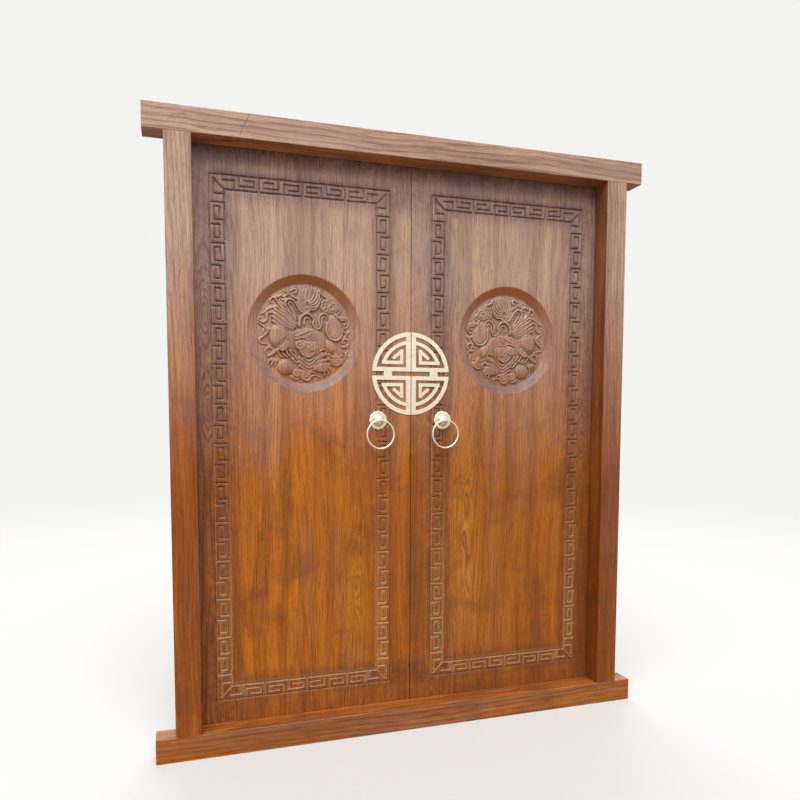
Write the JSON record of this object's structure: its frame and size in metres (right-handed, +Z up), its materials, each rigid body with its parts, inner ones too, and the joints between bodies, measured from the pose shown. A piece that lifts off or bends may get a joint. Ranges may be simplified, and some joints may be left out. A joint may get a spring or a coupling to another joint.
{
  "type": "carved double door",
  "caption": "Carved elm double door in its post and beam frame, with round carved medallions, fret borders, a split brass plate and hanging ring pulls.",
  "frame": {"origin": "middle of the threshold's underside, in the mid-plane of the frame", "axes": "+Z up, +Y through the doorway from the carved front to the back, +X to the right seen from the front"},
  "size_m": [2, 0.1805, 2.3],
  "materials": {
    "frame_elm": "varnished",
    "leaf_elm": "varnished",
    "rear_elm": "oiled",
    "brass": "polished",
    "iron": "dull"
  },
  "bodies": {
    "frame": {"head_beam": "frame_elm", "threshold": "frame_elm", "left_post": "frame_elm", "right_post": "frame_elm", "hinge_beam": "rear_elm", "left_pivot_block": "rear_elm", "right_pivot_block": "rear_elm", "socket_cups": "iron", "frame_pegs": "rear_elm", "hinge_beam_pegs": "rear_elm", "block_pegs": "rear_elm"},
    "left_leaf": {"left_plank_1": "leaf_elm", "left_plank_2": "leaf_elm", "left_plank_3": "leaf_elm", "left_plank_4": "leaf_elm", "left_plank_5": "leaf_elm", "left_lower_batten": "rear_elm", "left_middle_batten": "rear_elm", "left_upper_batten": "rear_elm", "left_pivot_shoe": "iron", "left_plate": "brass", "left_pull_rose": "brass", "left_pull_eye": "brass", "left_pull_washer": "iron", "bolt_bridge_1": "rear_elm", "bolt_bridge_2": "rear_elm"},
    "right_leaf": {"right_plank_1": "leaf_elm", "right_plank_2": "leaf_elm", "right_plank_3": "leaf_elm", "right_plank_4": "leaf_elm", "right_plank_5": "leaf_elm", "right_lower_batten": "rear_elm", "right_middle_batten": "rear_elm", "right_upper_batten": "rear_elm", "right_pivot_shoe": "iron", "right_plate": "brass", "right_pull_rose": "brass", "right_pull_eye": "brass", "right_pull_washer": "iron", "bolt_keeper": "rear_elm"},
    "left_ring": {"left_pull_ring": "brass"},
    "right_ring": {"right_pull_ring": "brass"},
    "bolt": {"bolt": "rear_elm"}
  },
  "joints": [
    {"name": "left_leaf_swing", "type": "hinge", "parent": "frame", "child": "left_leaf", "pos_m": [-0.8585, 0.062, 0.075], "axis": [0, 0, 1], "range_deg": [0, 100]},
    {"name": "right_leaf_swing", "type": "hinge", "parent": "frame", "child": "right_leaf", "pos_m": [0.8585, 0.062, 0.075], "axis": [0, 0, -1], "range_deg": [0, 100]},
    {"name": "left_ring_swing", "type": "hinge", "parent": "left_leaf", "child": "left_ring", "pos_m": [-0.137, 0.009, 1.23], "axis": [-1, 0, 0], "range_deg": [-12, 180]},
    {"name": "right_ring_swing", "type": "hinge", "parent": "right_leaf", "child": "right_ring", "pos_m": [0.137, 0.009, 1.23], "axis": [-1, 0, 0], "range_deg": [-12, 180]},
    {"name": "bolt_slide", "type": "slide", "parent": "left_leaf", "child": "bolt", "axis": [1, 0, 0], "range_m": [0, 0.11]}
  ]
}
